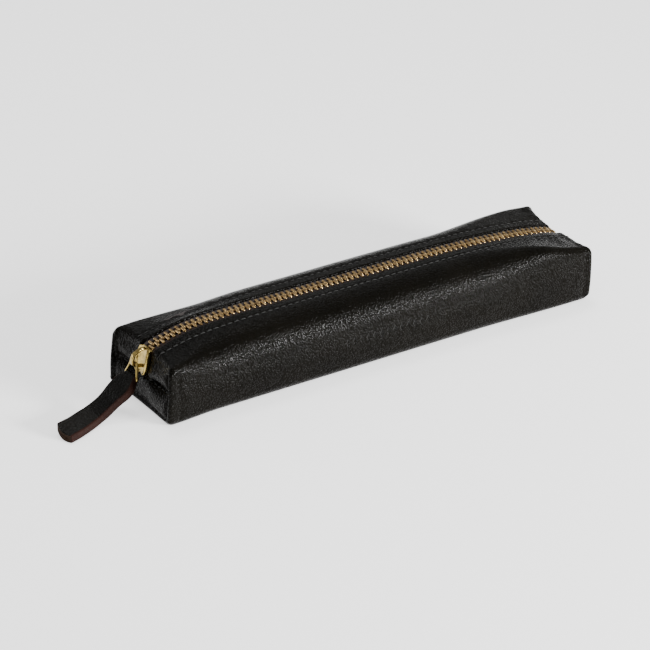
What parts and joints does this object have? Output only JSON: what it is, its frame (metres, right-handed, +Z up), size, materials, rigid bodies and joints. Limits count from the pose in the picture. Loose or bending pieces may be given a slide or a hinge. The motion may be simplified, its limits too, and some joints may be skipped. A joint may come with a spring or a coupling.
{
  "type": "zipped leather fountain pen case",
  "caption": "Long soft leather case for fountain pens, closed by a metal zip that runs over its top and down both ends, with a folded leather pull.",
  "frame": {"origin": "middle of the flat underside", "axes": "+X along the case, away from the end where the closed slider rests; the front long side faces -Y; +Z up"},
  "size_m": [0.2526, 0.0468, 0.032],
  "materials": {
    "pebbled_leather": "fine pebbled grain, semi-gloss",
    "strap_leather": "fine grain, painted edges",
    "lining_cloth": "plain woven cloth",
    "zip_tape": "ribbed woven tape",
    "thread": "waxed thread",
    "brass": "polished",
    "pale_brass": "polished"
  },
  "bodies": {
    "case": {"outer_shell": "pebbled_leather", "shell_lining": "lining_cloth", "near_seam_thread": "thread", "far_seam_thread": "thread"},
    "front_lip": {"front_lip_leather": "pebbled_leather", "front_lip_lining": "lining_cloth", "front_zip_tape": "zip_tape", "front_tape_cord": "zip_tape", "front_zip_teeth": "brass", "front_topstitch": "thread"},
    "back_lip": {"back_lip_leather": "pebbled_leather", "back_lip_lining": "lining_cloth", "back_zip_tape": "zip_tape", "back_tape_cord": "zip_tape", "back_zip_teeth": "brass", "back_topstitch": "thread"},
    "link_pin": {"link_pin": "pale_brass"},
    "slider": {"slider_body": "pale_brass", "slider_crown": "pale_brass"},
    "pull_ring": {"pull_ring": "pale_brass"},
    "pull_strap": {"pull_strap": "strap_leather"}
  },
  "joints": [
    {"name": "slider_travel", "type": "hinge", "parent": "case", "child": "link_pin", "pos_m": [0.00344, 0, -0.32567], "axis": [0, 1, 0], "range_deg": [0, 34.56]},
    {"name": "slider_tilt", "type": "hinge", "parent": "link_pin", "child": "slider", "pos_m": [-0.10821, 0, 0.02003], "axis": [0, 1, 0], "range_deg": [0, 116.95]},
    {"name": "ring_swing", "type": "hinge", "parent": "slider", "child": "pull_ring", "pos_m": [-0.10821, 0, 0.02003], "axis": [0, 1, 0], "range_deg": [0, 110]},
    {"name": "strap_swing", "type": "hinge", "parent": "pull_ring", "child": "pull_strap", "pos_m": [-0.11001, 0, 0.01384], "axis": [0, 1, 0], "range_deg": [0, 45]},
    {"name": "front_lip_open", "type": "hinge", "parent": "case", "child": "front_lip", "pos_m": [0, -0.0234, 0.01985], "axis": [1, 0, 0], "range_deg": [0, 50.01], "deforming": ["front_zip_tape", "front_tape_cord", "front_zip_teeth", "front_topstitch"]},
    {"name": "back_lip_open", "type": "hinge", "parent": "case", "child": "back_lip", "pos_m": [0, 0.0234, 0.01985], "axis": [-1, 0, 0], "range_deg": [0, 50.01], "deforming": ["back_zip_tape", "back_tape_cord", "back_zip_teeth", "back_topstitch"]}
  ],
  "couplings": [
    {"joint": "slider_tilt", "follows": "slider_travel", "ratio": 3.3832},
    {"joint": "front_lip_open", "follows": "slider_travel", "ratio": 1.4466},
    {"joint": "back_lip_open", "follows": "slider_travel", "ratio": 1.4466}
  ]
}
